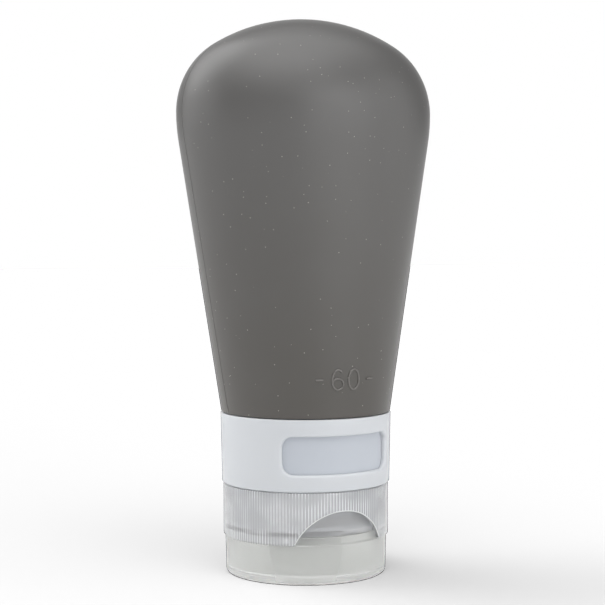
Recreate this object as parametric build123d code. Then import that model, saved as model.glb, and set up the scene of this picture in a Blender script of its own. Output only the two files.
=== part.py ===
from build123d import *
import math
import os

# Travel squeeze bottle of soft silicone, standing on its closed flip lid. Z is the bottle's own axis
# and Z = 0 is the lid's flat face. The front, with the window and the thumb notch, faces -Y, and the
# lid's hinge is at the back, +Y. All sizes are in mm.

# Body: an egg-topped, two-way tapered silicone moulding
BOTTLE_HEIGHT = 100.0
BODY_WIDTH = 48.0
BODY_DEPTH = 36.9
BODY_WALL = 1.6
BODY_BASE_RADIUS = 15.35
DOME_HEIGHT = 17.0
BELLY_RADIUS = 30.0
FLOOR_THICKNESS = 2.0
FUNNEL_HEIGHT = 2.2
BODY_EDGE_RADIUS = 0.3
GATE_FLAT_DEPTH = 0.01
shoulder_share = 0.84

# Neck and sealing lip of the body
NECK_BORE_RADIUS = 9.15
NECK_WALL = 1.7
LIP_THICKNESS = 1.8
LIP_EDGE_RADIUS = 0.6

# Rigid neck collar, its thread hub and its drum
HUB_WALL = 1.3
DRUM_WALL = 0.8
DRUM_WEB_THICKNESS = 1.0
FLANGE_THICKNESS = 0.7
FLANGE_LAND = 1.2
FLANGE_OVERHANG = 0.5
HUB_END_CHAMFER = 0.3
KEY_WIDTH = 3.0
KEY_HEIGHT = 3.0
KEY_PROUD = 0.45

# Indicator band behind the window
BAND_THICKNESS = 0.6

# Outer collar sleeve with its window
SLEEVE_TOP = 29.1
SLEEVE_HEIGHT = 12.7
SLEEVE_TOP_RADIUS = 15.47
SLEEVE_DRAFT = 0.24
SLEEVE_WALL = 0.8
SLEEVE_RIM_THICKNESS = 1.1
SLEEVE_BEAD_HEIGHT = 0.7
SLEEVE_BEAD_CATCH = 0.2
SLEEVE_EDGE_RADIUS = 0.5
SLEEVE_TOP_EDGE_RADIUS = 0.15
WINDOW_BASE = 19.4
WINDOW_HEIGHT = 6.7
WINDOW_DEGREES = 85.2
WINDOW_CORNER_RADIUS = 2.0

# Flip-top screw cap
CAP_RADIUS = 15.0
CAP_SKIRT_WALL = 0.8
CAP_HEIGHT = 8.8
CAP_EDGE_RADIUS = 0.5
CAP_INNER_WALL = 0.8
CAP_INNER_DROP = 0.6
RIB_COUNT = 168
RIB_DEPTH = 0.22
DECK_THICKNESS = 0.8
SPOUT_RADIUS = 5.9
SPOUT_WALL = 1.0
SPOUT_LENGTH = 4.4
SPOUT_EDGE_RADIUS = 0.3
BOSS_WALL = 0.8
BOSS_HEIGHT = 1.9
NOTCH_RADIUS = 8.9
NOTCH_CENTRE_DROP = 3.0

# Gasket between the cap's deck and the lip
GASKET_THICKNESS = 0.6

# Cross-slit valve and the ring that holds it
VALVE_FLANGE_THICKNESS = 0.7
VALVE_FLANGE_LAND = 1.7
VALVE_WALL = 0.5
VALVE_HEAD_THICKNESS = 0.6
VALVE_HEAD_SETBACK = 0.7
VALVE_DISH = 0.5
SLIT_LENGTH = 5.0
SLIT_WIDTH = 0.12
RETAINER_LAND = 0.85
RETAINER_BORE_LAND = 0.5
RETAINER_THICKNESS = 1.1
RETAINER_EDGE_RADIUS = 0.3

# Flip lid
LID_HEIGHT = 7.0
LID_SETBACK = 0.32
LID_DRAFT = 0.18
LID_EDGE_RADIUS = 0.6
LID_TOP_THICKNESS = 1.2
LID_NEST_WALL = 0.6
LID_NEST_HEIGHT = 1.3
LID_CORNER_RADIUS = 0.5
SEAL_RING_WALL = 0.8
SEAL_RING_HEIGHT = 4.3
PLUG_RADIUS = 2.6
PLUG_EDGE_RADIUS = 0.4

# Living hinge at the back
HINGE_FLAT_CUT = 0.8
HINGE_WIDTH = 9.2
HINGE_THICKNESS = 0.35
HINGE_LEAF = 1.8
HINGE_PAD_WIDTH = 12.0
HINGE_PAD_HEIGHT = 2.6
HINGE_PAD_THICKNESS = 1.0
HINGE_FLAT_HEIGHT = 5.4

# Clearances between pieces that fit or pass each other
SOFT_FIT = 0.05
BAND_FIT = 0.05
SLEEVE_CLEAR = 0.15
SLEEVE_END_CLEAR = 0.12
SEAM_GAP = 0.1
THREAD_ROOM = 0.75
LIP_CLEAR = 0.6
GASKET_CLEAR = 0.35
RIM_BORE_CLEAR = 0.8
NEST_CLEAR = 0.1
NEST_SIDE_CLEAR = 0.28
VALVE_CLEAR = 0.3
PLUG_CLEAR = 0.3
RETAINER_FIT = 0.05
SEAL_RING_CLEAR = 0.3
RELIEF_CLEAR = 0.4
OVERRUN = 2.0
EDGE_TOLERANCE = 0.01

# Places worked out from the sizes above
cap_base = LID_HEIGHT + SEAM_GAP / 2
lid_top = LID_HEIGHT - SEAM_GAP / 2
nest_top = LID_HEIGHT + LID_NEST_HEIGHT
cap_top = LID_HEIGHT + CAP_HEIGHT
deck_base = nest_top + NEST_CLEAR
deck_top = deck_base + DECK_THICKNESS
gasket_top = deck_top + GASKET_THICKNESS
lip_base = gasket_top
lip_top = lip_base + LIP_THICKNESS
sleeve_base = SLEEVE_TOP - SLEEVE_HEIGHT
body_base = SLEEVE_TOP + SLEEVE_END_CLEAR
belly_height = BOTTLE_HEIGHT - DOME_HEIGHT
rim_top = sleeve_base + SLEEVE_RIM_THICKNESS
drum_base = rim_top + SLEEVE_CLEAR
flange_top = SLEEVE_TOP - FLANGE_LAND
flange_base = flange_top - FLANGE_THICKNESS
spout_end = deck_base - SPOUT_LENGTH
valve_head_base = spout_end + VALVE_HEAD_SETBACK
plug_top = valve_head_base - PLUG_CLEAR

# Radii worked out from the bottle's neck outwards
neck_radius = NECK_BORE_RADIUS + NECK_WALL
hub_bore = neck_radius + SOFT_FIT
hub_radius = hub_bore + HUB_WALL
cap_inner_radius = hub_radius + THREAD_ROOM
cap_inner_outer = cap_inner_radius + CAP_INNER_WALL
lip_radius = cap_inner_radius - LIP_CLEAR
gasket_radius = cap_inner_radius - GASKET_CLEAR
rim_bore = hub_radius + RIM_BORE_CLEAR

# Radii worked out from the closure's outside inwards
sleeve_base_radius = SLEEVE_TOP_RADIUS - SLEEVE_DRAFT
sleeve_bore = SLEEVE_TOP_RADIUS - SLEEVE_WALL
band_radius = sleeve_bore - SLEEVE_CLEAR
band_bore = band_radius - BAND_THICKNESS
drum_radius = band_bore - BAND_FIT
drum_bore = drum_radius - DRUM_WALL
flange_radius = drum_radius + FLANGE_OVERHANG
bead_bore = flange_radius - SLEEVE_BEAD_CATCH
skirt_bore = CAP_RADIUS - CAP_SKIRT_WALL
hinge_flat_y = CAP_RADIUS - HINGE_FLAT_CUT
lid_rim_radius = CAP_RADIUS - LID_SETBACK
lid_base_radius = lid_rim_radius - LID_DRAFT
lid_nest_radius = skirt_bore - RIB_DEPTH - NEST_SIDE_CLEAR
lid_bore = lid_nest_radius - LID_NEST_WALL
spout_bore = SPOUT_RADIUS - SPOUT_WALL
valve_wall_radius = spout_bore - VALVE_CLEAR
valve_flange_radius = spout_bore + VALVE_FLANGE_LAND
retainer_radius = valve_flange_radius + RETAINER_LAND
retainer_bore = spout_bore - RETAINER_BORE_LAND
boss_bore = retainer_radius + RETAINER_FIT
seal_ring_bore = SPOUT_RADIUS + SEAL_RING_CLEAR


def solid_of_revolution(outline):
    """Turn a closed outline of (radius, height) lines and arcs about the bottle's axis."""
    return revolve(make_face(outline), axis=Axis.Z)


def turned(points):
    """A solid of revolution from straight lines between (radius, height) corners."""
    corners = [(radius, 0, height) for radius, height in points]
    return solid_of_revolution(Polyline(*corners, close=True))


def ring(outer, bore, base, top):
    """A plain ring about the bottle's axis."""
    return turned([(bore, base), (outer, base), (outer, top), (bore, top)])


def block(width, y_near, y_far, base, top):
    """A block centred on X = 0 between two Y and two Z places."""
    centre = (0, (y_near + y_far) / 2, (base + top) / 2)
    return Pos(*centre) * Box(width, y_far - y_near, top - base)


def circle_edges(part, radius, height):
    """The round edges of a part with the given radius at the given height."""
    found = []
    for edge in part.edges().filter_by(GeomType.CIRCLE):
        at_height = math.isclose(edge.arc_center.Z, height, abs_tol=EDGE_TOLERANCE)
        if at_height and math.isclose(edge.radius, radius, abs_tol=EDGE_TOLERANCE):
            found.append(edge)
    return found


def taper_angle():
    """The straight taper's angle, which runs from the collar's edge into the belly's arc."""
    across = BODY_WIDTH / 2 - BELLY_RADIUS - BODY_BASE_RADIUS
    rise = belly_height - body_base
    return math.atan2(across, rise) + math.asin(BELLY_RADIUS / math.hypot(across, rise))


def half_width(height, largest):
    """Half the body's width or depth below the belly: a straight taper, then an arc to upright."""
    rise = belly_height - height
    if rise <= BELLY_RADIUS * math.sin(taper_angle()):
        across = BODY_WIDTH / 2 - BELLY_RADIUS + math.sqrt(BELLY_RADIUS**2 - rise**2)
    else:
        across = BODY_BASE_RADIUS + (height - body_base) * math.tan(taper_angle())
    gain_share = (across - BODY_BASE_RADIUS) / (BODY_WIDTH / 2 - BODY_BASE_RADIUS)
    return BODY_BASE_RADIUS + (largest - BODY_BASE_RADIUS) * gain_share


def body_section(height, inset):
    """The body's oval at a height up to the belly, or mirrored above it, drawn in by the inset."""
    below = min(height, 2 * belly_height - height)
    across = half_width(below, BODY_WIDTH / 2) - inset
    deep = half_width(below, BODY_DEPTH / 2) - inset
    return Pos(0, 0, height) * Ellipse(across, deep)


def tapered_form(base, inset):
    """The body's form from a height up to the belly: a ruled taper, then a rounded band."""
    band_height = BELLY_RADIUS * math.sin(taper_angle())
    band_start = belly_height - band_height
    taper = loft([body_section(base, inset), body_section(band_start, inset)], ruled=True)
    rise_shares = (0.0, 0.5, 1.0, 1.5, 2.0)
    stations = [band_start + band_height * share for share in rise_shares]
    barrel = loft([body_section(height, inset) for height in stations])
    keep = block(2 * BODY_WIDTH, -BODY_DEPTH, BODY_DEPTH, band_start, belly_height)
    return taper + (barrel & keep)


def dome(inset):
    """The body's top: a shoulder and a crown arc turned, with a gate flat, then made oval."""
    across = BODY_WIDTH / 2 - inset
    deep = BODY_DEPTH / 2 - inset
    shoulder = DOME_HEIGHT * shoulder_share - inset
    top = DOME_HEIGHT - inset
    apex = top + GATE_FLAT_DEPTH
    reach = across - shoulder
    crown = (reach**2 + apex**2 - shoulder**2) / (2 * (apex - shoulder))
    crown_centre = apex - crown
    gate_radius = math.sqrt(crown**2 - (top - crown_centre) ** 2)
    lean = math.atan2(reach, -crown_centre)
    crown_lean = (lean + math.asin(gate_radius / crown)) / 2
    shoulder_lean = (lean + math.pi / 2) / 2

    def on_shoulder(angle):
        return reach + shoulder * math.sin(angle), 0, belly_height + shoulder * math.cos(angle)

    def on_crown(angle):
        return crown * math.sin(angle), 0, belly_height + crown_centre + crown * math.cos(angle)

    side = (across, 0, belly_height)
    gate_edge = (gate_radius, 0, belly_height + top)
    outline = Polyline(gate_edge, (0, 0, belly_height + top), (0, 0, belly_height), side)
    outline += ThreePointArc(side, on_shoulder(shoulder_lean), on_shoulder(lean))
    outline += ThreePointArc(on_shoulder(lean), on_crown(crown_lean), gate_edge)
    return scale(solid_of_revolution(outline), by=(1, deep / across, 1))


def make_bottle_body():
    """Hollow silicone body with its neck and sealing lip."""
    cavity_base = body_base + FLOOR_THICKNESS
    funnel_top = cavity_base + FUNNEL_HEIGHT
    outer = tapered_form(body_base, 0) + dome(0)
    edge_top = body_base + BODY_EDGE_RADIUS
    base_edges = [edge for edge in outer.edges() if edge.bounding_box().max.Z < edge_top]
    outer = fillet(base_edges, BODY_EDGE_RADIUS)
    cavity = tapered_form(funnel_top, BODY_WALL) + dome(BODY_WALL)
    mouth = Pos(0, 0, cavity_base) * Ellipse(NECK_BORE_RADIUS, NECK_BORE_RADIUS)
    funnel = loft([mouth, body_section(funnel_top, BODY_WALL)], ruled=True)
    neck = ring(neck_radius, 0, lip_base, body_base)
    lip = fillet(ring(lip_radius, 0, lip_base, lip_top).edges(), LIP_EDGE_RADIUS)
    bore = ring(NECK_BORE_RADIUS, 0, lip_base - OVERRUN, cavity_base)
    return outer + neck + lip - cavity - funnel - bore


def make_neck_collar():
    """Rigid collar: a hub for the thread, a web, and a drum that carries band and sleeve."""
    collar = turned(
        [
            (hub_bore, lip_top),
            (hub_radius - HUB_END_CHAMFER, lip_top),
            (hub_radius, lip_top + HUB_END_CHAMFER),
            (hub_radius, flange_top - DRUM_WEB_THICKNESS),
            (drum_bore, flange_top - DRUM_WEB_THICKNESS),
            (drum_bore, drum_base),
            (drum_radius, drum_base),
            (drum_radius, flange_base),
            (flange_radius, flange_base),
            (flange_radius, flange_top),
            (hub_radius, flange_top),
            (hub_radius, body_base),
            (hub_bore, body_base),
        ]
    )
    key = block(
        KEY_WIDTH,
        drum_radius - DRUM_WALL / 2,
        drum_radius + KEY_PROUD,
        flange_base - KEY_HEIGHT,
        flange_base + FLANGE_THICKNESS / 2,
    )
    return collar + key


def make_indicator_band():
    """Thin band on the drum, kept from turning by a slot over the drum's key."""
    band = ring(band_radius, band_bore, drum_base, flange_base)
    slot = block(
        KEY_WIDTH + 2 * BAND_FIT,
        0,
        band_radius + OVERRUN,
        flange_base - KEY_HEIGHT - BAND_FIT,
        flange_base + OVERRUN,
    )
    return band - slot


def make_collar_sleeve():
    """Outer sleeve: slightly tapered, with a rim below, a snap bead above and a window."""
    bead_top = SLEEVE_TOP
    bead_base = SLEEVE_TOP - SLEEVE_BEAD_HEIGHT
    sleeve = turned(
        [
            (rim_bore, sleeve_base),
            (sleeve_base_radius, sleeve_base),
            (SLEEVE_TOP_RADIUS, SLEEVE_TOP),
            (bead_bore, bead_top),
            (bead_bore, bead_base),
            (sleeve_bore, bead_base - (sleeve_bore - bead_bore)),
            (sleeve_bore, rim_top),
            (rim_bore, rim_top),
        ]
    )
    lower = circle_edges(sleeve, sleeve_base_radius, sleeve_base)
    sleeve = fillet(lower, SLEEVE_EDGE_RADIUS)
    upper = circle_edges(sleeve, SLEEVE_TOP_RADIUS, SLEEVE_TOP)
    sleeve = fillet(upper, SLEEVE_TOP_EDGE_RADIUS)
    near = band_radius
    far = SLEEVE_TOP_RADIUS + OVERRUN
    window_top = WINDOW_BASE + WINDOW_HEIGHT
    section = Polyline(
        (near, 0, WINDOW_BASE),
        (far, 0, WINDOW_BASE),
        (far, 0, window_top),
        (near, 0, window_top),
        close=True,
    )
    cutter = revolve(make_face(section), axis=Axis.Z, revolution_arc=WINDOW_DEGREES)
    cutter = Rot(0, 0, 270 - WINDOW_DEGREES / 2) * cutter
    corners = cutter.edges().filter_by(GeomType.LINE).filter_by(
        lambda edge: math.isclose(edge.length, far - near, abs_tol=EDGE_TOLERANCE)
    )
    return sleeve - fillet(corners, WINDOW_CORNER_RADIUS)


def fluted_skirt():
    """The cap's outer skirt, round outside, with fine upright ribs all round inside."""
    step = 2 * math.pi / RIB_COUNT
    valley_and_crest = []
    for index in range(RIB_COUNT):
        for turn, radius in ((index, skirt_bore), (index + 1 / 2, skirt_bore - RIB_DEPTH)):
            angle = turn * step
            valley_and_crest.append((radius * math.cos(angle), radius * math.sin(angle)))
    bore = make_face(Polyline(*valley_and_crest, close=True))
    skirt = extrude(Circle(CAP_RADIUS) - bore, cap_top - cap_base)
    skirt = Pos(0, 0, cap_base) * skirt
    return fillet(circle_edges(skirt, CAP_RADIUS, cap_top), CAP_EDGE_RADIUS)


def make_cap_shell():
    """Screw cap: fluted outer skirt, threaded inner wall, deck, spout, boss and thumb notch."""
    deck_edge = skirt_bore + CAP_SKIRT_WALL / 2
    inner_top = cap_top - CAP_INNER_DROP
    core = turned(
        [
            (spout_bore, spout_end),
            (SPOUT_RADIUS, spout_end),
            (SPOUT_RADIUS, deck_base),
            (deck_edge, deck_base),
            (deck_edge, deck_top),
            (cap_inner_outer, deck_top),
            (cap_inner_outer, inner_top),
            (cap_inner_radius, inner_top),
            (cap_inner_radius, deck_top),
            (boss_bore + BOSS_WALL, deck_top),
            (boss_bore + BOSS_WALL, deck_top + BOSS_HEIGHT),
            (boss_bore, deck_top + BOSS_HEIGHT),
            (boss_bore, deck_top),
            (spout_bore, deck_top),
        ]
    )
    core = fillet(circle_edges(core, SPOUT_RADIUS, spout_end), SPOUT_EDGE_RADIUS)
    pad = block(
        HINGE_PAD_WIDTH,
        hinge_flat_y - HINGE_PAD_THICKNESS,
        hinge_flat_y,
        cap_base,
        cap_base + HINGE_PAD_HEIGHT,
    )
    hinge_flat = block(
        2 * CAP_RADIUS,
        hinge_flat_y,
        CAP_RADIUS + OVERRUN,
        cap_base - OVERRUN,
        LID_HEIGHT + HINGE_FLAT_HEIGHT / 2,
    )
    notch_height = LID_HEIGHT - NOTCH_CENTRE_DROP
    notch = Pos(0, -CAP_RADIUS, notch_height) * Rot(90, 0, 0)
    notch = notch * Cylinder(NOTCH_RADIUS, CAP_RADIUS)
    keep_inside = ring(cap_inner_outer + RETAINER_FIT, 0, 0, cap_top + OVERRUN)
    return fluted_skirt() + core + pad - hinge_flat - (notch - keep_inside)


def make_cap_gasket():
    """Flat gasket that the lip presses on."""
    return ring(gasket_radius, NECK_BORE_RADIUS, deck_top, gasket_top)


def make_dispensing_valve():
    """Silicone valve: flange on the deck, a short wall through it and a dished, slit head."""
    flange_top_z = deck_top + VALVE_FLANGE_THICKNESS
    head_top = valve_head_base + VALVE_HEAD_THICKNESS
    wall_bore = valve_wall_radius - VALVE_WALL
    outline = Polyline(
        (valve_wall_radius, 0, valve_head_base),
        (valve_wall_radius, 0, deck_top),
        (valve_flange_radius, 0, deck_top),
        (valve_flange_radius, 0, flange_top_z),
        (wall_bore, 0, flange_top_z),
        (wall_bore, 0, head_top),
    )
    inner = ThreePointArc(
        (wall_bore, 0, head_top),
        (wall_bore / 2, 0, head_top + VALVE_DISH * 3 / 4),
        (0, 0, head_top + VALVE_DISH),
    )
    middle = Line((0, 0, head_top + VALVE_DISH), (0, 0, valve_head_base + VALVE_DISH))
    outer = ThreePointArc(
        (0, 0, valve_head_base + VALVE_DISH),
        (valve_wall_radius / 2, 0, valve_head_base + VALVE_DISH * 3 / 4),
        (valve_wall_radius, 0, valve_head_base),
    )
    valve = solid_of_revolution(outline + inner + middle + outer)
    for turn in (45, 135):
        slit = Box(SLIT_LENGTH, SLIT_WIDTH, 4 * (VALVE_DISH + VALVE_HEAD_THICKNESS))
        valve -= Pos(0, 0, valve_head_base) * Rot(0, 0, turn) * slit
    return valve


def make_valve_retainer():
    """Ring pressed into the cap's boss, holding the valve's flange down."""
    base = deck_top + VALVE_FLANGE_THICKNESS
    holder = ring(retainer_radius, retainer_bore, base, base + RETAINER_THICKNESS)
    edges = circle_edges(holder, retainer_bore, base + RETAINER_THICKNESS)
    return fillet(edges, RETAINER_EDGE_RADIUS)


def make_flip_lid():
    """Lid cup that the bottle stands on, with nested rim, seal ring round the spout and plug."""
    lid = turned(
        [
            (0, 0),
            (lid_base_radius, 0),
            (lid_rim_radius, lid_top),
            (lid_nest_radius, lid_top),
            (lid_nest_radius, nest_top),
            (lid_bore, nest_top),
            (lid_bore, LID_TOP_THICKNESS),
            (0, LID_TOP_THICKNESS),
        ]
    )
    lid = fillet(circle_edges(lid, lid_base_radius, 0), LID_EDGE_RADIUS)
    lid = fillet(circle_edges(lid, lid_bore, LID_TOP_THICKNESS), LID_CORNER_RADIUS)
    overlap = LID_TOP_THICKNESS / 2
    seal = ring(
        seal_ring_bore + SEAL_RING_WALL,
        seal_ring_bore,
        overlap,
        LID_TOP_THICKNESS + SEAL_RING_HEIGHT,
    )
    plug = ring(PLUG_RADIUS, 0, overlap, plug_top)
    plug = fillet(circle_edges(plug, PLUG_RADIUS, plug_top), PLUG_EDGE_RADIUS)
    hinge_flat = block(
        2 * CAP_RADIUS,
        hinge_flat_y,
        CAP_RADIUS + OVERRUN,
        LID_HEIGHT - HINGE_FLAT_HEIGHT / 2,
        nest_top + OVERRUN,
    )
    relief = block(
        HINGE_PAD_WIDTH + 2 * RELIEF_CLEAR,
        hinge_flat_y - HINGE_PAD_THICKNESS - 2 * RELIEF_CLEAR,
        CAP_RADIUS,
        lid_top,
        nest_top + OVERRUN,
    )
    return lid + seal + plug - hinge_flat - relief


def make_hinge_film():
    """Thin strap over the seam, flat on the cap's and the lid's back."""
    return block(
        HINGE_WIDTH,
        hinge_flat_y,
        hinge_flat_y + HINGE_THICKNESS,
        LID_HEIGHT - HINGE_LEAF,
        LID_HEIGHT + HINGE_LEAF,
    )


PIECES = {
    "bottle_body": make_bottle_body,
    "neck_collar": make_neck_collar,
    "indicator_band": make_indicator_band,
    "collar_sleeve": make_collar_sleeve,
    "cap_shell": make_cap_shell,
    "cap_gasket": make_cap_gasket,
    "dispensing_valve": make_dispensing_valve,
    "valve_retainer": make_valve_retainer,
    "flip_lid": make_flip_lid,
    "hinge_film": make_hinge_film,
}

os.makedirs("parts", exist_ok=True)
for name, make in PIECES.items():
    export_step(make(), f"parts/{name}.step")
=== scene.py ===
import math
from collections import namedtuple

import bmesh
import bpy
from mathutils import Matrix, Vector


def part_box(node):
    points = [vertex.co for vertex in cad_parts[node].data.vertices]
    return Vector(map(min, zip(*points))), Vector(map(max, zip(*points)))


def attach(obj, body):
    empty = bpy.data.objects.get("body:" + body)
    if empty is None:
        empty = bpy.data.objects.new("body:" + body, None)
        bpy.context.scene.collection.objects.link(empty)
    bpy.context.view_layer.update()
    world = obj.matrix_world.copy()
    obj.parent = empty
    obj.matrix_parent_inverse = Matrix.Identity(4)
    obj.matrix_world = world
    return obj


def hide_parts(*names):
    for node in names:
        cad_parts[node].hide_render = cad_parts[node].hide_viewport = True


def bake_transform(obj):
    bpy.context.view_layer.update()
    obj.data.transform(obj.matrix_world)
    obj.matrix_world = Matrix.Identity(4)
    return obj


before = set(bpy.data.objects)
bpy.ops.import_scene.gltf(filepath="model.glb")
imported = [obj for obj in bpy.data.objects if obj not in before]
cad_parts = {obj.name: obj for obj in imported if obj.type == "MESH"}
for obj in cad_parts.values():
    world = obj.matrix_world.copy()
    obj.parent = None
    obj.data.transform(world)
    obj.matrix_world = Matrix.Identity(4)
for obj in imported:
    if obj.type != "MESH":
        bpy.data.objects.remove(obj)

MM = 0.001
SHARP_ANGLE = math.radians(32)
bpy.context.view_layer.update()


def low_high(node):
    """A CAD node's lowest and highest corner in millimetres."""
    return [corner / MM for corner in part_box(node)]


body_low, body_high = low_high("bottle_body")
sleeve_low, sleeve_high = low_high("collar_sleeve")
band_high = low_high("indicator_band")[1]
collar_low, collar_high = low_high("neck_collar")
cap_low, cap_high = low_high("cap_shell")
gasket_low = low_high("cap_gasket")[0]
lid_high = low_high("flip_lid")[1]
film_low, film_high = low_high("hinge_film")

# The body's sizes in millimetres, as in the CAD frame
BODY_WALL = 1.6
BODY_BASE_RADIUS = 15.35
BODY_EDGE = 0.3
DOME_HEIGHT = 17.0
BELLY_RADIUS = 30.0
SHOULDER_RADIUS = 14.3
FLOOR_THICKNESS = 2.0
FUNNEL_HEIGHT = 2.2
LIP_RADIUS = 12.35
LIP_THICKNESS = 1.8
LIP_EDGE = 0.6
NECK_BORE = 9.15
NECK_WALL = 1.7
PARTING_WIDTH = 0.2
PARTING_HEIGHT = 0.05
PARTING_PROFILE = (-1.0, -0.4, 0.4, 1.0)
INNER_STEPS = 24
OUTER_STEPS = 48
BODY_COLUMNS = 176
body_base = collar_high.z
belly_height = body_high.z - DOME_HEIGHT
neck_radius = NECK_BORE + NECK_WALL

# The capacity mark on the body
MARK_HEIGHT = 36.0
DIGIT_HALF_WIDTH = 1.05
DIGIT_HALF_HEIGHT = 1.75
DIGIT_PLACE = 1.55
TICK_PLACE = 4.2
TICK_LENGTH = 1.3
STROKE_RADIUS = 0.22
SIX_START = 48
BOWL_SHARE = 0.56
ZERO_STEPS = 32
SIX_STEPS = 14
BOWL_STEPS = 19

# The sleeve's sizes
SLEEVE_WALL = 0.8
SLEEVE_EDGE = 0.3
SLEEVE_DRAFT = 0.24
SLEEVE_BEAD_DEPTH = 0.5
SLEEVE_BEAD_HEIGHT = 0.7
SLEEVE_RIM_BORE = 13.0
SLEEVE_RIM_THICKNESS = 1.1
WINDOW_BASE = 19.4
WINDOW_HEIGHT = 6.7
WINDOW_HALF_ANGLE = math.radians(42.6)
WINDOW_CORNER = 2.0
WINDOW_MARGIN = 1.0
WINDOW_SOFT_EDGE = 0.45
WINDOW_LIP_GAP = 0.03
WINDOW_CORNER_STEPS = 10
WINDOW_ARC_STEPS = 44
WINDOW_HEIGHT_STEPS = 8
WINDOW_EDGE_STEPS = 6
SLEEVE_COLUMNS = 110

# The closure's sizes
CAP_WALL = 0.8
CAP_INNER_RADIUS = 12.95
CAP_INNER_DROP = 0.6
RIB_COUNT = 168
RIB_DEPTH = 0.22
CREST_SHARE = 0.2
CREST_CLEAR = 0.15
DECK_THICKNESS = 0.8
SPOUT_RADIUS = 5.9
SPOUT_BORE = 4.9
BOSS_RADIUS = 8.3
BOSS_BORE = 7.5
BOSS_HEIGHT = 1.9
SEAM_GAP = 0.1
NOTCH_RADIUS = 8.9
NOTCH_CENTRE = 4.0
NOTCH_EDGE = 0.1
NOTCH_STEPS = 72
CUTTER_COLUMNS = 128
PAD_WIDTH = 12.0
PAD_THICKNESS = 1.0
PAD_HEIGHT = 2.6
HINGE_FLAT_HEIGHT = 2.7
RELIEF_WIDTH = 12.8
RELIEF_DEPTH = 1.8
LID_DRAFT = 0.18
LID_TOP = 1.2
LID_NEST_RADIUS = 13.7
LID_NEST_BORE = 13.1
SEAL_RING_RADIUS = 7.0
SEAL_RING_BORE = 6.2
SEAL_RING_END = 5.5
PLUG_RADIUS = 2.6
PLUG_END = 4.4
FILM_GAP = 0.02
FILM_GROOVE = 0.12
FILM_BEND = 0.6
FILM_ROWS = 72
FILM_COLUMNS = 12
CAP_RIM_RISE = 0.45
ROUND_COLUMNS = 256
cap_radius = cap_high.x
skirt_bore = cap_radius - CAP_WALL
deck_top = gasket_low.z
deck_base = deck_top - DECK_THICKNESS
hinge_flat = film_low.y
seam = (film_low.z + film_high.z) / 2
cap_base = seam + SEAM_GAP / 2
lid_rim = seam - SEAM_GAP / 2

# The screw thread on the neck and in the cap
THREAD_PITCH = 3.0
THREAD_DEPTH = 0.45
THREAD_ROW = 0.16
THREAD_LEAD_IN = 0.4
THREAD_COLUMNS = 240
RIDGE_FOOT = 0.21
RIDGE_CREST = 0.11
HUB_WALL = 1.35
HUB_OVERLAP = 0.05
hub_radius = neck_radius + HUB_WALL

# Edge radii left by the moulds, from crisp to soft, and how far cutters run past
CRISP = 0.08
EASED = 0.2
SOFT = 0.5
OVERRUN = 2.0

# What the materials show: sizes and depths in millimetres, the rest as shares
CLOUD_SIZE = 9.0
CLOUD_SHARE = 0.15
DUST_SPACING = 1.1
DUST_RADIUS = 0.075
DUST_COUNT = 0.42
GRAIN_SIZE = 0.3
GRAIN_DEPTH = 0.05
PEEL_SIZE = 1.8
PEEL_DEPTH = 0.05
PEEL_WEAR = 0.04
FLOW_SIZE = 3.0
FLOW_DEPTH = 0.1
MELT_SIZE = 4.0
MELT_LOW = 0.38
MELT_HIGH = 0.66
MELT_LEAST = 0.18
SCATTER_DEPTH = 1.0
SILICONE_IOR = 1.42
POLYPROPYLENE_IOR = 1.49

# The photograph's camera in millimetres and radians
CAMERA_AZIMUTH = math.radians(-26.5)
CAMERA_DISTANCE = 280.6
CAMERA_HEIGHT = 59.9
CAMERA_TILT = math.radians(2.25)
CAMERA_ASIDE = math.radians(0.1)
CAMERA_ROLL = math.radians(0.13)
CAMERA_LENS = 91.6
CAMERA_SENSOR = 36.0

# The studio: a floor in millimetres, strengths, and softboxes in degrees from the camera
FLOOR_HALF = 3000.0
WHITE = 1.0
ROOM = 0.05
SURROUND = 0.1
SURROUND_EDGE = 0.75
Softbox = namedtuple("Softbox", "aside up full_angle edge_angle strength")
SOFTBOXES = (
    Softbox(43, 8, 6, 30, 2.15),
    Softbox(84, 8, 8, 36, 0.9),
    Softbox(8, 50, 8, 42, 0.8),
    Softbox(0, 82, 12, 55, 1.6),
    Softbox(-118, 44, 6, 32, 2.2),
    Softbox(-94, 8, 8, 44, 1.4),
)


# Nodes
def linear(code):
    """An sRGB hex colour as linear RGBA."""
    parts = [int(code[place : place + 2], 16) / 255 for place in (1, 3, 5)]
    curve = [v / 12.92 if v <= 0.04045 else ((v + 0.055) / 1.055) ** 2.4 for v in parts]
    return (*curve, 1.0)


def add_node(tree, kind, inputs=(), **settings):
    """Add one node with its settings, and give each named input a value or a link."""
    node = tree.nodes.new(kind)
    for name, value in settings.items():
        setattr(node, name, value)
    for name, value in dict(inputs).items():
        if isinstance(value, bpy.types.NodeSocket):
            tree.links.new(value, node.inputs[name])
        else:
            node.inputs[name].default_value = value
    return node


def new_material(name):
    """A material with an empty node tree, and the tree."""
    material = bpy.data.materials.new(name)
    material.use_nodes = True
    material.node_tree.nodes.clear()
    return material, material.node_tree


def uneven_skin(tree, place, size, depth, strength):
    """A mould's unevenness in millimetres: its height, and the normal of a skin raised by it."""
    height = add_node(
        tree, "ShaderNodeTexNoise", {"Vector": place, "Scale": 1 / (size * MM), "Detail": 2.0}
    ).outputs["Fac"]
    normal = add_node(
        tree, "ShaderNodeBump", {"Height": height, "Strength": strength, "Distance": depth * MM}
    ).outputs["Normal"]
    return height, normal


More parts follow.
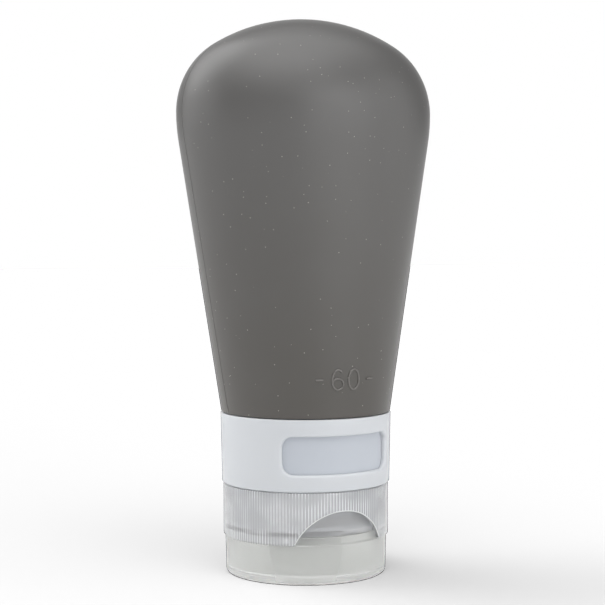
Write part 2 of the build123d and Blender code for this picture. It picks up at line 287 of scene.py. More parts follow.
def around_axis(tree, place):
    """A place's height, its way out from the bottle's axis, its radius and its share of a turn."""
    axes = add_node(tree, "ShaderNodeSeparateXYZ", {"Vector": place}).outputs
    level = add_node(
        tree, "ShaderNodeVectorMath", {0: place, 1: (1, 1, 0)}, operation="MULTIPLY"
    ).outputs[0]
    radius = add_node(tree, "ShaderNodeVectorMath", {0: level}, operation="LENGTH").outputs["Value"]
    angle = add_node(
        tree, "ShaderNodeMath", {0: axes["Y"], 1: axes["X"]}, operation="ARCTAN2"
    ).outputs[0]
    turn = add_node(
        tree, "ShaderNodeMath", {0: angle, 1: 2 * math.pi}, operation="DIVIDE"
    ).outputs[0]
    return axes["Z"], level, radius, turn


# Materials
def silicone_skin(name, shaded_neck_tone, lit_dome_tone, roughness):
    """Moulded silicone with a satin skin that spreads highlights wide and a few dust specks. Its
    tone goes from darker at the neck end to lighter at the dome, a painted shade.
    """
    material, tree = new_material(name)
    place = add_node(tree, "ShaderNodeTexCoord").outputs["Object"]
    # Painted shade: the neck end is darker and warmer and the dome lighter, where more light falls
    # from above
    height = add_node(tree, "ShaderNodeSeparateXYZ", {"Vector": place}).outputs["Z"]
    painted_light_share = add_node(
        tree,
        "ShaderNodeMapRange",
        {"Value": height, "From Min": body_base * MM, "From Max": belly_height * MM},
    ).outputs["Result"]
    cloud = add_node(
        tree, "ShaderNodeTexNoise", {"Vector": place, "Scale": 1 / (CLOUD_SIZE * MM), "Detail": 3.0}
    ).outputs["Fac"]
    patchy = add_node(
        tree,
        "ShaderNodeMapRange",
        {"Value": cloud, "To Min": -CLOUD_SHARE, "To Max": CLOUD_SHARE},
    ).outputs["Result"]
    share = add_node(tree, "ShaderNodeMath", {0: painted_light_share, 1: patchy}, operation="ADD")
    tone = add_node(
        tree,
        "ShaderNodeMix",
        {"Factor": share.outputs[0], 6: linear(shaded_neck_tone), 7: linear(lit_dome_tone)},
        data_type="RGBA",
    )
    dust = add_node(
        tree, "ShaderNodeTexVoronoi", {"Vector": place, "Scale": 1 / (DUST_SPACING * MM)}
    ).outputs
    speck = add_node(
        tree, "ShaderNodeMath", {0: dust["Distance"], 1: DUST_RADIUS}, operation="LESS_THAN"
    )
    lot = add_node(tree, "ShaderNodeSeparateColor", {"Color": dust["Color"]}).outputs["Red"]
    rare = add_node(tree, "ShaderNodeMath", {0: lot, 1: DUST_COUNT}, operation="LESS_THAN")
    dusted = add_node(
        tree, "ShaderNodeMath", {0: speck.outputs[0], 1: rare.outputs[0]}, operation="MULTIPLY"
    )
    skin = add_node(
        tree,
        "ShaderNodeMix",
        {"Factor": dusted.outputs[0], 6: tone.outputs[2], 7: linear("#b0aca5")},
        data_type="RGBA",
    )
    # Spark-eroded mould grain is about 0.02 mm, drawn coarser so that it shows
    _, grained = uneven_skin(tree, place, GRAIN_SIZE, GRAIN_DEPTH, 0.1)
    shader = add_node(
        tree,
        "ShaderNodeBsdfPrincipled",
        {
            "Base Color": skin.outputs[2],
            "Roughness": roughness,
            "IOR": SILICONE_IOR,
            "Specular IOR Level": 0.8,
            "Subsurface Weight": 0.1,
            "Subsurface Radius": (1.0, 0.9, 0.8),
            "Subsurface Scale": SCATTER_DEPTH * MM,
            "Normal": grained,
        },
    )
    add_node(tree, "ShaderNodeOutputMaterial", {"Surface": shader.outputs["BSDF"]})
    return material


def opaque_moulding(name, code, roughness, ior):
    """Opaque white moulding. Light sinks in a little, so edges look soft and faintly waxy."""
    material, tree = new_material(name)
    place = add_node(tree, "ShaderNodeTexCoord").outputs["Object"]
    peel, peeled = uneven_skin(tree, place, PEEL_SIZE, PEEL_DEPTH, 0.06)
    wear = add_node(
        tree,
        "ShaderNodeMapRange",
        {"Value": peel, "To Min": roughness - PEEL_WEAR, "To Max": roughness + PEEL_WEAR},
    )
    shader = add_node(
        tree,
        "ShaderNodeBsdfPrincipled",
        {
            "Base Color": linear(code),
            "Roughness": wear.outputs["Result"],
            "IOR": ior,
            "Subsurface Weight": 0.5,
            "Subsurface Radius": (1.0, 1.0, 1.0),
            "Subsurface Scale": SCATTER_DEPTH * MM,
            "Normal": peeled,
        },
    )
    add_node(tree, "ShaderNodeOutputMaterial", {"Surface": shader.outputs["BSDF"]})
    return material


def rib_crests(tree, place):
    """One on the crest of each pressed rib of the cap's skirt, and nothing between them. The crests
    are made milkier, as thick plastic is, and this also paints bright lines along the ribs, a
    painted highlight.
    """
    _, _, radius, turn = around_axis(tree, place)
    ribs = add_node(
        tree, "ShaderNodeMath", {0: turn, 1: RIB_COUNT}, operation="MULTIPLY"
    ).outputs[0]
    zigzag = add_node(tree, "ShaderNodeMath", {0: ribs, 1: 0.5}, operation="PINGPONG").outputs[0]
    crest = add_node(
        tree,
        "ShaderNodeMapRange",
        {"Value": zigzag, "From Min": 0.5 - CREST_SHARE, "From Max": 0.5},
    ).outputs["Result"]
    skirt = add_node(
        tree,
        "ShaderNodeMath",
        {0: radius, 1: (skirt_bore - RIB_DEPTH / 2) * MM},
        operation="GREATER_THAN",
    ).outputs[0]
    # Some crests are drawn whiter than others, by a noise
    melt = add_node(
        tree, "ShaderNodeTexNoise", {"Vector": place, "Scale": 1 / (MELT_SIZE * MM), "Detail": 1.0}
    ).outputs["Fac"]
    filled = add_node(
        tree,
        "ShaderNodeMapRange",
        {"Value": melt, "From Min": MELT_LOW, "From Max": MELT_HIGH, "To Min": MELT_LEAST},
    ).outputs["Result"]
    white = add_node(
        tree, "ShaderNodeMath", {0: crest, 1: filled}, operation="MULTIPLY"
    ).outputs[0]
    return add_node(
        tree, "ShaderNodeMath", {0: white, 1: skirt}, operation="MULTIPLY"
    ).outputs[0]


def frosted_moulding(name, code, clear, roughness, ior, fluted=False):
    """Natural moulding. Shapes behind show through a milky haze; with flutes the rib crests are
    whitest, partly as thick plastic is and partly a painted highlight.
    """
    material, tree = new_material(name)
    place = add_node(tree, "ShaderNodeTexCoord").outputs["Object"]
    if fluted:
        clear = add_node(
            tree,
            "ShaderNodeMapRange",
            {"Value": rib_crests(tree, place), "To Min": clear, "To Max": CREST_CLEAR},
        ).outputs["Result"]
    _, flowed = uneven_skin(tree, place, FLOW_SIZE, FLOW_DEPTH, 0.08)
    shader = add_node(
        tree,
        "ShaderNodeBsdfPrincipled",
        {
            "Base Color": linear(code),
            "Roughness": roughness,
            "IOR": ior,
            "Transmission Weight": clear,
            "Normal": flowed,
        },
    )
    add_node(tree, "ShaderNodeOutputMaterial", {"Surface": shader.outputs["BSDF"]})
    return material


# Meshes
Corner = namedtuple("Corner", "r z edge", defaults=(0.0,))


def rounded(corners, steps=4):
    """A closed outline of (radius, height) points, each corner rounded by its own edge radius."""
    outline = []
    for index, corner in enumerate(corners):
        here = Vector(corner[:2])
        before = Vector(corners[index - 1][:2]) - here
        after = Vector(corners[(index + 1) % len(corners)][:2]) - here
        if corner.edge == 0:
            outline.append(tuple(here))
            continue
        half = before.angle(after) / 2
        reach = min(corner.edge / math.tan(half), before.length / 2, after.length / 2)
        start, end = here + before.normalized() * reach, here + after.normalized() * reach
        bisector = (before.normalized() + after.normalized()).normalized()
        centre = here + bisector * reach / math.cos(half)
        for step in range(steps + 1):
            point = (start - centre).lerp(end - centre, step / steps)
            outline.append(tuple(centre + point.normalized() * (start - centre).length))
    return outline


def with_heights(outline, heights):
    """The outline with a point at each height on its runs that pass all of them."""
    filled = []
    for (r, z), (r_next, z_next) in zip(outline, outline[1:] + outline[:1]):
        filled.append((r, z))
        if min(z, z_next) < heights[0] and max(z, z_next) > heights[-1]:
            for height in heights if z < z_next else heights[::-1]:
                share = (height - z) / (z_next - z)
                filled.append((r + (r_next - r) * share, height))
    return filled


def in_scene(name, data):
    """A new object at the origin, in the scene."""
    item = bpy.data.objects.new(name, data)
    bpy.context.scene.collection.objects.link(item)
    return item


def tool_from(work):
    """A mesh object to combine with, made of a bmesh that is then freed."""
    mesh = bpy.data.meshes.new("tool")
    work.to_mesh(mesh)
    work.free()
    return in_scene("tool", mesh)


def new_piece(name, vertices, faces, material):
    """A smooth mesh object from millimetre vertices, its doubles merged and its faces outwards."""
    mesh = bpy.data.meshes.new(name)
    mesh.from_pydata([Vector(vertex) * MM for vertex in vertices], [], faces)
    work = bmesh.new()
    work.from_mesh(mesh)
    bmesh.ops.remove_doubles(work, verts=work.verts, dist=CRISP * MM / 100)
    bmesh.ops.recalc_face_normals(work, faces=work.faces)
    work.to_mesh(mesh)
    work.free()
    mesh.materials.append(material)
    mesh.shade_smooth()
    mesh.set_sharp_from_angle(angle=SHARP_ANGLE)
    return in_scene(name, mesh)


def turned_piece(name, outline, material, columns):
    """A closed outline turned about the bottle's axis."""
    vertices, faces = [], []
    count = len(outline)
    for column in range(columns):
        turn = 2 * math.pi * column / columns
        vertices += [(r * math.cos(turn), r * math.sin(turn), z) for r, z in outline]
        here, there = column * count, (column + 1) % columns * count
        for row in range(count):
            after = (row + 1) % count
            if outline[row][0] > 0 or outline[after][0] > 0:
                faces.append((here + row, here + after, there + after, there + row))
    return new_piece(name, vertices, faces, material)


def keep_modified(piece):
    """Make what a piece's modifiers give its plain mesh, and take the modifiers off."""
    graph = bpy.context.evaluated_depsgraph_get()
    mesh = bpy.data.meshes.new_from_object(piece.evaluated_get(graph))
    piece.modifiers.clear()
    piece.data = mesh
    mesh.shade_smooth()
    mesh.set_sharp_from_angle(angle=SHARP_ANGLE)


def combine(piece, tool, operation):
    """Cut a tool mesh from a piece, or join it on, and remove the tool."""
    step = piece.modifiers.new(operation.lower(), "BOOLEAN")
    step.operation, step.solver, step.object = operation, "EXACT", tool
    keep_modified(piece)
    bpy.data.objects.remove(tool)


def block(width, near, far, base, top):
    """A plain block centred on X = 0 between two Y and two Z places, to combine with."""
    work = bmesh.new()
    size = Vector((width, far - near, top - base)) * MM
    centre = Vector((0, (near + far) / 2, (base + top) / 2)) * MM
    bmesh.ops.create_cube(work, size=1, matrix=Matrix.LocRotScale(centre, None, size))
    return tool_from(work)


def set_inputs(piece, tree, values):
    """Put a node tree on a piece as a modifier, its inputs set by their identifiers."""
    modifier = piece.modifiers.new(tree.name, "NODES")
    modifier.node_group = tree
    for item in tree.interface.items_tree:
        if item.name in values:
            modifier[item.identifier] = values[item.name]


def dress(piece, body, slot, *nodes):
    """Let a piece ride on its body, and stand for its CAD nodes. The slot is not used."""
    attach(piece, body)
    if nodes:
        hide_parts(*nodes)


# Geometry Nodes for what repeats round the closure
def wall_tree(name, inputs):
    """A tree for one turned wall: its inputs, each point's height, way out and turn, and a mask."""
    tree = bpy.data.node_groups.new(name, "GeometryNodeTree")
    for label, kind in inputs.items():
        tree.interface.new_socket(label, in_out="INPUT", socket_type=f"NodeSocket{kind}")
    tree.interface.new_socket("Geometry", in_out="OUTPUT", socket_type="NodeSocketGeometry")
    given = add_node(tree, "NodeGroupInput").outputs
    place = add_node(tree, "GeometryNodeInputPosition").outputs["Position"]
    height, level, radius, turn = around_axis(tree, place)
    outward = add_node(tree, "ShaderNodeVectorMath", {0: level}, operation="NORMALIZE").outputs[0]
    on_wall = add_node(
        tree,
        "ShaderNodeMath",
        {0: radius, 1: given["Wall radius"], 2: CRISP * MM / 4},
        operation="COMPARE",
    ).outputs[0]
    return tree, given, height, outward, turn, on_wall


def finish_tree(tree, given, outward, proud):
    """Move the wall's points outwards by a distance, then realise and set the material."""
    offset = add_node(
        tree, "ShaderNodeVectorMath", {0: outward, "Scale": proud}, operation="SCALE"
    ).outputs[0]
    moved = add_node(
        tree, "GeometryNodeSetPosition", {"Geometry": given["Geometry"], "Offset": offset}
    )
    real = add_node(tree, "GeometryNodeRealizeInstances", {"Geometry": moved.outputs[0]})
    painted = add_node(
        tree,
        "GeometryNodeSetMaterial",
        {"Geometry": real.outputs[0], "Material": given["Material"]},
    )
    add_node(tree, "NodeGroupOutput", {"Geometry": painted.outputs[0]})


def flute_tree():
    """Upright ribs pressed all round one wall, as a zigzag of its radius."""
    tree, given, _, outward, turn, on_wall = wall_tree(
        "pressed_flutes",
        {
            "Geometry": "Geometry",
            "Wall radius": "Float",
            "Rib count": "Int",
            "Rib depth": "Float",
            "Material": "Material",
        },
    )
    ribs = add_node(
        tree, "ShaderNodeMath", {0: turn, 1: given["Rib count"]}, operation="MULTIPLY"
    ).outputs[0]
    zigzag = add_node(tree, "ShaderNodeMath", {0: ribs, 1: 0.5}, operation="PINGPONG").outputs[0]
    crest = add_node(
        tree, "ShaderNodeMath", {0: zigzag, 1: given["Rib depth"]}, operation="MULTIPLY"
    ).outputs[0]
    proud = add_node(
        tree, "ShaderNodeMath", {0: crest, 1: on_wall}, operation="MULTIPLY"
    ).outputs[0]
    finish_tree(tree, given, outward, proud)
    return tree


def thread_tree():
    """A right-hand screw thread raised on one wall between two heights, run out at its ends."""
    tree, given, height, outward, turn, on_wall = wall_tree(
        "screw_thread",
        {
            "Geometry": "Geometry",
            "Wall radius": "Float",
            "Pitch": "Float",
            "Depth": "Float",
            "Start turn": "Float",
            "Base": "Float",
            "Top": "Float",
            "Run-out": "Float",
            "Material": "Material",
        },
    )
    climbed = add_node(
        tree, "ShaderNodeMath", {0: height, 1: given["Pitch"]}, operation="DIVIDE"
    ).outputs[0]
    along = add_node(tree, "ShaderNodeMath", {0: climbed, 1: turn}, operation="SUBTRACT").outputs[0]
    phase = add_node(
        tree, "ShaderNodeMath", {0: along, 1: given["Start turn"]}, operation="ADD"
    ).outputs[0]
    away = add_node(tree, "ShaderNodeMath", {0: phase, 1: 0.5}, operation="PINGPONG").outputs[0]
    ridge = add_node(
        tree,
        "ShaderNodeMapRange",
        {"Value": away, "From Min": RIDGE_FOOT, "From Max": RIDGE_CREST},
    ).outputs["Result"]
    from_base = add_node(
        tree, "ShaderNodeMath", {0: height, 1: given["Base"]}, operation="SUBTRACT"
    ).outputs[0]
    from_top = add_node(
        tree, "ShaderNodeMath", {0: given["Top"], 1: height}, operation="SUBTRACT"
    ).outputs[0]
    inside = add_node(
        tree, "ShaderNodeMath", {0: from_base, 1: from_top}, operation="MINIMUM"
    ).outputs[0]
    fade = add_node(
        tree,
        "ShaderNodeMapRange",
        {"Value": inside, "From Min": 0.0, "From Max": given["Run-out"]},
    ).outputs["Result"]
    shaped = add_node(tree, "ShaderNodeMath", {0: ridge, 1: fade}, operation="MULTIPLY").outputs[0]
    raised = add_node(
        tree, "ShaderNodeMath", {0: shaped, 1: given["Depth"]}, operation="MULTIPLY"
    ).outputs[0]
    proud = add_node(
        tree, "ShaderNodeMath", {0: raised, 1: on_wall}, operation="MULTIPLY"
    ).outputs[0]
    finish_tree(tree, given, outward, proud)
    return tree


def add_thread(piece, tree, material, wall, depth, start, base, top):
    """Raise the screw thread on a piece's wall between two heights, by a depth in millimetres."""
    set_inputs(
        piece,
        tree,
        {
            "Wall radius": wall * MM,
            "Pitch": THREAD_PITCH * MM,
            "Depth": depth * MM,
            "Start turn": start,
            "Base": base * MM,
            "Top": top * MM,
            "Run-out": THREAD_LEAD_IN * MM,
            "Material": material,
        },
    )


# The silicone body
def taper_angle():
    """The straight taper's angle, which runs from the collar's edge into the belly's arc."""
    across = body_high.x - BELLY_RADIUS - BODY_BASE_RADIUS
    rise = belly_height - body_base
    return math.atan2(across, rise) + math.asin(BELLY_RADIUS / math.hypot(across, rise))


def half_width(height):
    """Half the body's width at a height up to the belly."""
    rise = belly_height - height
    if rise <= BELLY_RADIUS * math.sin(taper_angle()):
        return body_high.x - BELLY_RADIUS + math.sqrt(BELLY_RADIUS**2 - rise**2)
    return BODY_BASE_RADIUS + (height - body_base) * math.tan(taper_angle())


def half_depth(across):
    """Half the body's depth below the belly, where half its width is given."""
    gain_share = (across - BODY_BASE_RADIUS) / (body_high.x - BODY_BASE_RADIUS)
    return BODY_BASE_RADIUS + (body_high.y - BODY_BASE_RADIUS) * gain_share


def side_ovals(base, inset, steps):
    """Ovals (half width, half depth, height) up the body's side, from a height to the belly."""
    ovals = []
    for step in range(steps + 1):
        height = base + (belly_height - base) * step / steps
        across = half_width(height)
        ovals.append((across - inset, half_depth(across) - inset, height))
    return ovals


def dome_ovals(inset, steps):
    """Ovals over the body's shoulder and crown, from above the belly to the pole."""
    across, deep = body_high.x - inset, body_high.y - inset
    shoulder = SHOULDER_RADIUS - inset
    rise = DOME_HEIGHT - inset
    reach = across - shoulder
    crown = (reach**2 + rise**2 - shoulder**2) / (2 * (rise - shoulder))
    lean = math.atan2(reach, crown - rise)
    ovals = []
    for step in range(1, steps + 1):
        angle = math.pi / 2 * (1 - step / steps)
        if angle > lean:
            r, z = reach + shoulder * math.sin(angle), shoulder * math.cos(angle)
        else:
            r, z = crown * math.sin(angle), rise - crown + crown * math.cos(angle)
        ovals.append((r, r * deep / across, belly_height + z))
    return ovals


def make_body(material):
    """The squeeze body as one closed skin: down inside, round the lip, and up outside."""
    funnel_base = body_base + FLOOR_THICKNESS
    funnel_top = funnel_base + FUNNEL_HEIGHT
    inside = side_ovals(funnel_top, BODY_WALL, INNER_STEPS) + dome_ovals(BODY_WALL, INNER_STEPS)
    inside = [(NECK_BORE, NECK_BORE, funnel_base)] + inside
    lip_top = body_low.z + LIP_THICKNESS
    under = rounded(
        [
            Corner(NECK_BORE, body_low.z, EASED),
            Corner(LIP_RADIUS, body_low.z, LIP_EDGE),
            Corner(LIP_RADIUS, lip_top, LIP_EDGE),
            Corner(neck_radius, lip_top),
            Corner(neck_radius, body_base),
            Corner(BODY_BASE_RADIUS, body_base, BODY_EDGE),
            Corner(half_width(funnel_top), funnel_top),
            Corner(NECK_BORE, funnel_top),
        ],
        steps=6,
    )[:-2]
    outside = side_ovals(body_base + 2 * BODY_EDGE, 0, OUTER_STEPS) + dome_ovals(0, OUTER_STEPS)
    ovals = inside[::-1] + [(r, r, z) for r, z in under] + outside
    side_turn = PARTING_WIDTH / 2 / body_high.x
    turns = [2 * math.pi * step / BODY_COLUMNS for step in range(BODY_COLUMNS)]
    for side in (0, math.pi):
        turns += [side + side_turn * share for share in PARTING_PROFILE]
    turns = sorted(turn % (2 * math.pi) for turn in turns)
    vertices, faces = [], []
    for turn in turns:
        on_ridge = abs(math.sin(turn)) < side_turn / 2
        for index, (across, deep, height) in enumerate(ovals):
            outer = index >= len(ovals) - len(outside)
            proud = PARTING_HEIGHT if on_ridge and outer and across > 0 else 0
            vertices.append(((across + proud) * math.cos(turn), deep * math.sin(turn), height))
    count = len(ovals)
    for column in range(len(turns)):
        here, there = column * count, (column + 1) % len(turns) * count
        for row in range(count - 1):
            faces.append((here + row, here + row + 1, there + row + 1, there + row))
    body = new_piece("squeeze_body", vertices, faces, material)
    dress(body, "bottle", "body_silicone", "bottle_body")


def front_point(x, z):
    """The point on the body's front at a place across it and a height, in metres."""
    across = half_width(z)
    return Vector((x, -half_depth(across) * math.sqrt(1 - (x / across) ** 2), z)) * MM


def round_strokes(name, strokes, radius, material):
    """Round strokes of one thickness along (points in metres, closed) routes."""
    curve = bpy.data.curves.new(name, "CURVE")
    curve.dimensions = "3D"
    curve.bevel_depth = radius * MM
    curve.bevel_resolution = 3
    curve.use_fill_caps = True
    for points, closed in strokes:
        spline = curve.splines.new("POLY")
        spline.points.add(len(points) - 1)
        for spot, point in zip(spline.points, points):
            spot.co = (*point, 1)
        spline.use_cyclic_u = closed
    route = bpy.data.objects.new(name, curve)
    mesh = bpy.data.meshes.new_from_object(route)
    mesh.materials.append(material)
    mesh.shade_smooth()
    bpy.data.objects.remove(route)
    return in_scene(name, mesh)


def digit_arc(across, up, half_height, start, end, steps):
    """Points (across, up) along an oval as wide as a digit, between two angles in degrees."""
    turns = [math.radians(start + (end - start) * step / steps) for step in range(steps + 1)]
    return [
        (across + DIGIT_HALF_WIDTH * math.cos(turn), up + half_height * math.sin(turn))
        for turn in turns
    ]


def make_capacity_mark(material):
    """The raised number on the front, in round strokes half sunk in the skin, with two ticks."""
    tall = DIGIT_HALF_HEIGHT
    bowl = tall * BOWL_SHARE
    zero = digit_arc(DIGIT_PLACE, 0, tall, 0, 360, ZERO_STEPS)[:-1]
    six = digit_arc(-DIGIT_PLACE, 0, tall, SIX_START, 270, SIX_STEPS)[:-1]
    six += digit_arc(-DIGIT_PLACE, bowl - tall, bowl, 270, 540, BOWL_STEPS)
    strokes = [(zero, True), (six, False)]
    for side in (-1, 1):
        tick = [(side * (TICK_PLACE + TICK_LENGTH * share), 0) for share in (0, 0.5, 1)]
        strokes.append((tick, False))
    on_front = [
        ([front_point(x, MARK_HEIGHT + z) for x, z in points], closed) for points, closed in strokes
    ]
    mark = round_strokes("capacity_mark", on_front, STROKE_RADIUS, material)
    dress(mark, "bottle", "body_silicone")


# The turning sleeve
def window_loop(middle, radius, offset, square=False):
    """Points (arc, height) round the window, moved out by an offset, corners round or square."""
    straight_arc = WINDOW_HALF_ANGLE * radius - WINDOW_CORNER
    straight_height = WINDOW_HEIGHT / 2 - WINDOW_CORNER
    points = []
    for quarter, (side, end) in enumerate(((1, 1), (-1, 1), (-1, -1), (1, -1))):
        for step in range(WINDOW_CORNER_STEPS + 1):
            turn = math.pi / 2 * (quarter + step / WINDOW_CORNER_STEPS)
            reach = WINDOW_CORNER + offset
            if square:
                reach /= max(abs(math.cos(turn)), abs(math.sin(turn)))
            arc = side * straight_arc + reach * math.cos(turn)
            points.append((arc, middle + end * straight_height + reach * math.sin(turn)))
        arc, height = points[-1]
        along_top = quarter % 2 == 0
        run_steps = WINDOW_ARC_STEPS if along_top else WINDOW_HEIGHT_STEPS
        for step in range(1, run_steps):
            share = step / run_steps
            if along_top:
                points.append((arc - 2 * side * straight_arc * share, height))
            else:
                points.append((arc, height - 2 * end * straight_height * share))
    return points


def make_sleeve(material):
    """The turning sleeve: a gently tapered wall with a window that has soft round edges."""
    base, top = sleeve_low.z, sleeve_high.z
    top_radius = sleeve_high.x
    bore = top_radius - SLEEVE_WALL
    bead = bore - SLEEVE_BEAD_DEPTH
    rim_top = base + SLEEVE_RIM_THICKNESS
    middle = WINDOW_BASE + WINDOW_HEIGHT / 2
    soft = WINDOW_SOFT_EDGE
    # The window's inner edge comes close to the band, so no dark crack shows round it
    lip = band_high.x + WINDOW_LIP_GAP

    def wall(height):
        return top_radius - SLEEVE_DRAFT * (top - height) / (top - base)

    frame_loop = window_loop(middle, wall(middle), WINDOW_MARGIN, True)
    arcs = sorted({round(arc, 5) for arc, height in frame_loop})
    heights = sorted({round(height, 5) for arc, height in frame_loop})
    outline = rounded(
        [
            Corner(SLEEVE_RIM_BORE, base, CRISP),
            Corner(wall(base), base, SLEEVE_EDGE),
            Corner(wall(top), top, EASED),
            Corner(bead, top, CRISP),
            Corner(bead, top - SLEEVE_BEAD_HEIGHT),
            Corner(bore, top - SLEEVE_BEAD_HEIGHT - SLEEVE_BEAD_DEPTH),
            Corner(bore, rim_top),
            Corner(SLEEVE_RIM_BORE, rim_top, CRISP),
        ]
    )
    outline = with_heights(outline, heights)
    rest = 2 * math.pi * wall(middle) - (arcs[-1] - arcs[0])
    around = arcs + [arcs[-1] + rest * step / SLEEVE_COLUMNS for step in range(1, SLEEVE_COLUMNS)]

    def place(arc, height, radius):
        turn = arc / wall(middle) - math.pi / 2
        return radius * math.cos(turn), radius * math.sin(turn), height

    vertices, faces = [], []
    rows = len(outline)
    for column, arc in enumerate(around):
        vertices += [place(arc, z, r) for r, z in outline]
        here, there = column * rows, (column + 1) % len(around) * rows
        for row in range(rows):
            after = (row + 1) % rows
            levels = outline[row][1], outline[after][1]
            at_window = min(levels) >= heights[0] and max(levels) <= heights[-1]
            if not (at_window and column < len(arcs) - 1):
                faces.append((here + row, here + after, there + after, there + row))
    rings = [[place(arc, z, wall(z)) for arc, z in frame_loop]]
    for step in range(WINDOW_EDGE_STEPS + 1):
        turn = math.pi / 2 * step / WINDOW_EDGE_STEPS
        loop = window_loop(middle, wall(middle), soft * (1 - math.sin(turn)))
        depth = soft * (1 - math.cos(turn))
        rings.append([place(arc, z, wall(z) - depth) for arc, z in loop])
    rings.append([place(arc, z, lip) for arc, z in window_loop(middle, wall(middle), 0)])
    rings.append([place(arc, z, bore) for arc, z in frame_loop])
    start, count = len(vertices), len(frame_loop)
    for level, ring in enumerate(rings):
        vertices += ring
        for index in range(count if level else 0):
            here = start + level * count
            after = (index + 1) % count
            faces.append((here + index, here + after, here - count + after, here - count + index))
    sleeve = new_piece("turning_sleeve", vertices, faces, material)
    dress(sleeve, "sleeve", "sleeve_plastic", "collar_sleeve")


# The closure
def thread_rows(base, top):
    """Evenly spaced heights, close enough for a thread's flanks."""
    count = math.ceil((top - base) / THREAD_ROW)
    return [base + (top - base) * step / count for step in range(count + 1)]


def make_neck_thread(tree, material):
    """The neck's screw thread, on a thin ring sunk in the CAD hub so that only the ridge shows."""
    base, top = collar_low.z + THREAD_LEAD_IN, sleeve_low.z - THREAD_LEAD_IN
    wall = hub_radius - HUB_OVERLAP
    outline = [
        (wall - SOFT, base - HUB_OVERLAP),
        (wall, base - HUB_OVERLAP),
        (wall, top + HUB_OVERLAP),
        (wall - SOFT, top + HUB_OVERLAP),
    ]
    outline = with_heights(outline, thread_rows(base, top))
    ring = turned_piece("neck_thread", outline, material, THREAD_COLUMNS)
    add_thread(ring, tree, material, wall, THREAD_DEPTH + HUB_OVERLAP, 0.0, base, top)
    keep_modified(ring)
    dress(ring, "bottle", "collar_plastic")


def notch_tool():
    """The thumb notch's cutter: a cylinder from the front that stops outside the inner wall."""
    work = bmesh.new()
    lie_down = Matrix.Rotation(math.pi / 2, 4, "X")
    front = Matrix.Translation(Vector((0, -cap_radius, NOTCH_CENTRE)) * MM)
    bmesh.ops.create_cone(
        work,
        cap_ends=True,
        segments=CUTTER_COLUMNS,
        radius1=NOTCH_RADIUS * MM,
        radius2=NOTCH_RADIUS * MM,
        depth=cap_radius * MM,
        matrix=front @ lie_down,
    )
    tool = tool_from(work)
    core_radius = CAP_INNER_RADIUS + CAP_WALL + HUB_OVERLAP
    low, high = -cap_radius, cap_high.z + cap_radius
    core = [(0, low), (core_radius, low), (core_radius, high), (0, high)]
    combine(tool, turned_piece("core", core, None, ROUND_COLUMNS), "DIFFERENCE")
    return tool


def make_cap(flutes, thread, material):
    """The screw cap: fluted skirt, threaded inner wall, deck, spout, boss, notch and hinge pad."""
    inner_top = cap_high.z - CAP_INNER_DROP
    inner_outer = CAP_INNER_RADIUS + CAP_WALL
    boss_top = deck_top + BOSS_HEIGHT
    # The rim closes half the gap below the sleeve, where the photograph shows hardly any
    rim_top = cap_high.z + CAP_RIM_RISE
    outline = rounded(
        [
            Corner(SPOUT_BORE, cap_low.z, EASED),
            Corner(SPOUT_RADIUS, cap_low.z, EASED),
            Corner(SPOUT_RADIUS, deck_base, EASED),
            Corner(skirt_bore, deck_base),
            Corner(skirt_bore, cap_base),
            Corner(cap_radius, cap_base, CRISP),
            Corner(cap_radius, rim_top, EASED),
            Corner(skirt_bore, rim_top, CRISP),
            Corner(skirt_bore, deck_top),
            Corner(inner_outer, deck_top),
            Corner(inner_outer, inner_top, EASED),
            Corner(CAP_INNER_RADIUS, inner_top, EASED),
            Corner(CAP_INNER_RADIUS, deck_top, CRISP),
            Corner(BOSS_RADIUS, deck_top, CRISP),
            Corner(BOSS_RADIUS, boss_top, EASED),
            Corner(BOSS_BORE, boss_top, CRISP),
            Corner(BOSS_BORE, deck_top),
            Corner(SPOUT_BORE, deck_top, CRISP),
        ],
        steps=3,
    )
    base, top = body_low.z + LIP_THICKNESS, inner_top - EASED - CRISP
    outline = with_heights(outline, thread_rows(base, top))
    cap = turned_piece("screw_cap", outline, material, 4 * RIB_COUNT)
    set_inputs(
        cap,
        flutes,
        {
            "Wall radius": skirt_bore * MM,
            "Rib count": RIB_COUNT,
            "Rib depth": -2 * RIB_DEPTH * MM,
            "Material": material,
        },
    )
    add_thread(cap, thread, material, CAP_INNER_RADIUS, -THREAD_DEPTH, 0.5, base, top)
    keep_modified(cap)
    pad = block(PAD_WIDTH, hinge_flat - PAD_THICKNESS, hinge_flat, cap_base, cap_base + PAD_HEIGHT)
    combine(cap, pad, "UNION")
    far = cap_radius + OVERRUN
    flat = block(2 * far, hinge_flat, far, cap_base - OVERRUN, seam + HINGE_FLAT_HEIGHT)
    combine(cap, flat, "DIFFERENCE")
    combine(cap, notch_tool(), "DIFFERENCE")
    dress(cap, "cap", "cap_plastic", "cap_shell")


def make_notch_edge(material):
    """The notch's rolled edge, a round bead half sunk in the skirt, which catches the light; its
    whiter, milkier plastic is a painted highlight.
    """
    reach = NOTCH_RADIUS + NOTCH_EDGE / 2
    wall = cap_radius - NOTCH_EDGE / 2
    swing = math.acos((cap_base + 2 * NOTCH_EDGE - NOTCH_CENTRE) / reach)
    points = []
    for step in range(NOTCH_STEPS + 1):
        turn = swing * (2 * step / NOTCH_STEPS - 1)
        across, height = reach * math.sin(turn), NOTCH_CENTRE + reach * math.cos(turn)
        points.append(Vector((across, -math.sqrt(wall**2 - across**2), height)) * MM)
    edge = round_strokes("notch_edge", [(points, False)], NOTCH_EDGE, material)
    dress(edge, "cap", "cap_plastic")


